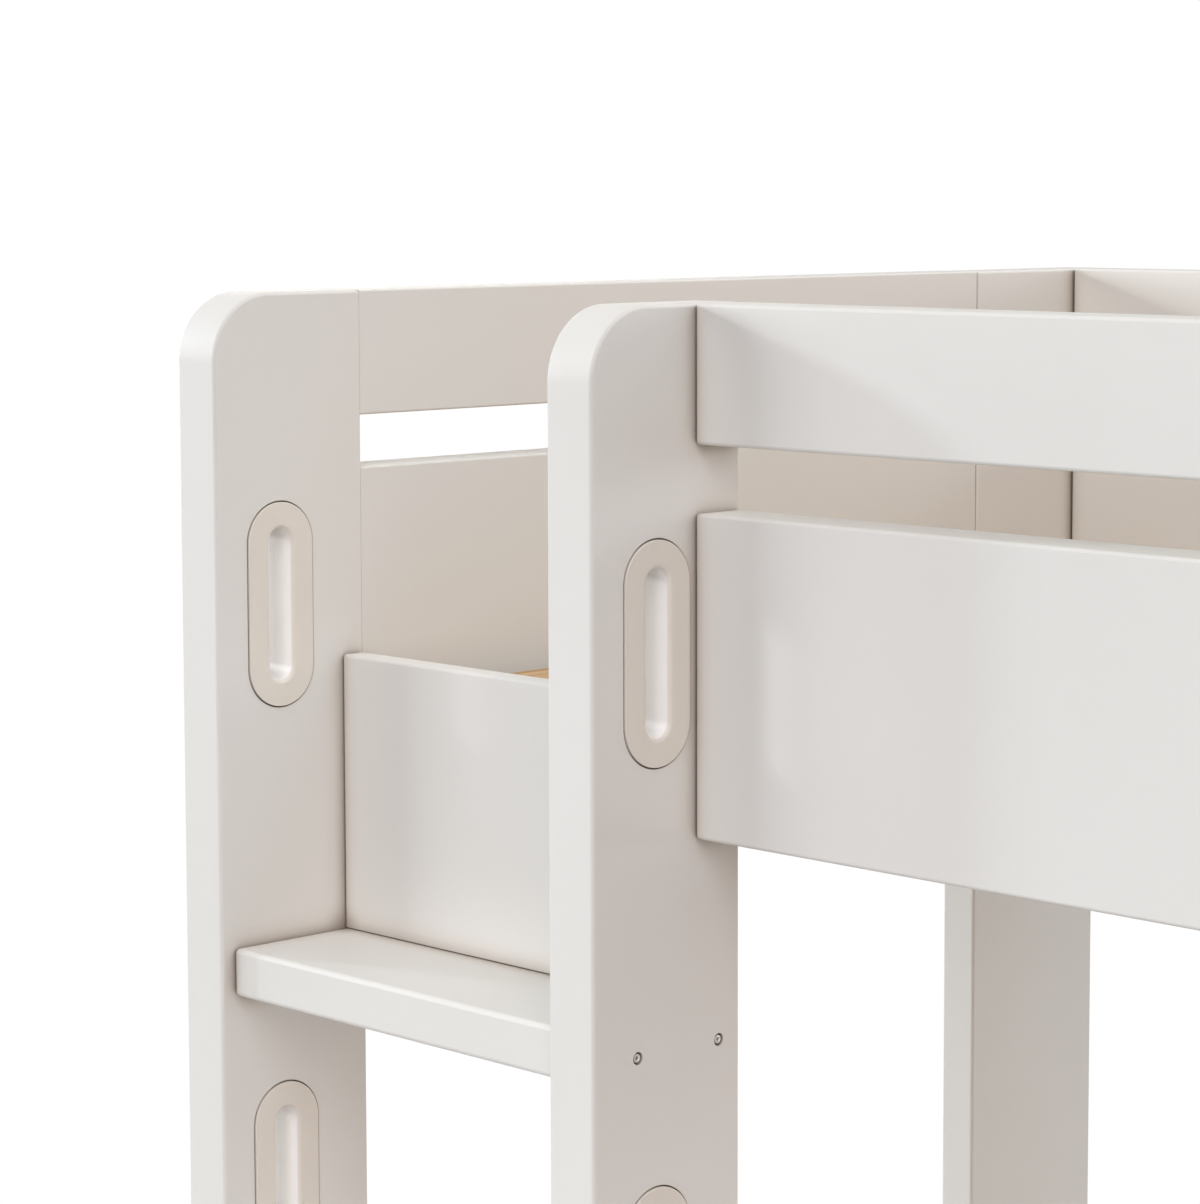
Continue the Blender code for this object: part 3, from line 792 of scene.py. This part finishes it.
# travel, energy, angle, colour
LAMPS = {
    "key": ((1.0, 0.357, -0.3), 1.061, 5.0, (0.849, 0.961, 1.0)),
    "low_060": ((0.858, 0.495, -0.139), 0.107, 30.0, (0.665, 1.0, 0.921)),
    "low_120": ((0.858, -0.495, -0.139), 0.810, 30.0, (1.0, 0.898, 0.835)),
    "low_180": ((0.0, -0.99, -0.139), 0.687, 30.0, (1.0, 0.981, 0.957)),
    "low_210": ((-0.495, -0.858, -0.139), 0.994, 30.0, (0.922, 0.949, 1.0)),
    "low_300": ((-0.858, 0.495, -0.139), 0.170, 30.0, (1.0, 0.516, 0.397)),
    "low_330": ((-0.495, 0.858, -0.139), 0.792, 30.0, (0.968, 0.952, 1.0)),
    "mid_000": ((0.0, 0.743, -0.669), 0.438, 42.0, (0.923, 0.97, 1.0)),
    "mid_180": ((0.0, -0.743, -0.669), 0.610, 42.0, (1.0, 0.939, 0.861)),
    "mid_225": ((-0.525, -0.525, -0.669), 0.653, 42.0, (0.876, 0.968, 1.0)),
    "mid_315": ((-0.525, 0.525, -0.669), 1.289, 42.0, (0.978, 0.981, 1.0)),
    "nar_035": ((0.571, 0.816, -0.087), 0.482, 13.0, (0.916, 0.957, 1.0)),
    "nar_045": ((0.704, 0.704, -0.087), 0.379, 13.0, (0.946, 0.942, 1.0)),
    "nar_055": ((0.816, 0.571, -0.087), 0.234, 13.0, (0.984, 0.993, 1.0)),
    "nar_080": ((0.981, 0.173, -0.087), 0.574, 13.0, (1.0, 0.936, 0.903)),
    "top": ((0.0, 0.0, -1.0), 0.878, 50.0, (0.996, 0.978, 1.0)),
}
lamps = {name: sun(name, *spec) for name, spec in LAMPS.items()}

unlit = bpy.data.collections.new("not_on_floor")
unlit.objects.link(floor)
lamps["key"].light_linking.receiver_collection = unlit
unlit.collection_objects[0].light_linking.link_state = "EXCLUDE"

world = bpy.data.worlds.new("studio")
bpy.context.scene.world = world
world.use_nodes = True
_t = world.node_tree
_t.nodes.clear()
_out = _t.nodes.new("ShaderNodeOutputWorld")
_mix = _t.nodes.new("ShaderNodeMixShader")
_path = _t.nodes.new("ShaderNodeLightPath")
world_light = _t.nodes.new("ShaderNodeBackground")
_white = _t.nodes.new("ShaderNodeBackground")
world_light.inputs["Color"].default_value = (1.000, 1.000, 1.000, 1.0)
world_light.inputs["Strength"].default_value = 0.0000
_white.inputs["Color"].default_value = (1.0, 1.0, 1.0, 1.0)
_white.inputs["Strength"].default_value = 1.02
_t.links.new(_path.outputs["Is Camera Ray"], _mix.inputs[0])
_t.links.new(world_light.outputs[0], _mix.inputs[1])
_t.links.new(_white.outputs[0], _mix.inputs[2])
_t.links.new(_mix.outputs[0], _out.inputs["Surface"])

bpy.context.scene.view_settings.view_transform = "Standard"

# ---------------------------------------------------------------------------
# Camera
# ---------------------------------------------------------------------------
YAW, PITCH, ROLL = map(math.radians, (43.680, 5.563, -0.165))
camera_data = bpy.data.cameras.new("camera")
camera_data.sensor_fit = "AUTO"
camera_data.sensor_width = 36.0
camera_data.lens = 107.454
camera_data.shift_x = 0.0
camera_data.shift_y = -0.0598
camera_data.clip_start, camera_data.clip_end = 0.05, 100.0
camera = bpy.data.objects.new("camera", camera_data)
bpy.context.scene.collection.objects.link(camera)
fwd = Vector((-math.cos(YAW) * math.cos(PITCH), math.sin(YAW) * math.cos(PITCH), -math.sin(PITCH)))
right = Vector((math.sin(YAW), math.cos(YAW), 0.0))
up = right.cross(fwd)
r2 = right * math.cos(ROLL) + up * math.sin(ROLL)
u2 = -right * math.sin(ROLL) + up * math.cos(ROLL)
spot = Vector((X_LEFT + 2.314326, Y_FRONT - 1.742951, HEIGHT + 0.088895))
camera.matrix_world = Matrix(((r2.x, u2.x, -fwd.x, spot.x), (r2.y, u2.y, -fwd.y, spot.y),
                              (r2.z, u2.z, -fwd.z, spot.z), (0, 0, 0, 1)))
bpy.context.scene.camera = camera

# ---------------------------------------------------------------------------
# Final update of the view layer
# ---------------------------------------------------------------------------
bpy.context.view_layer.update()
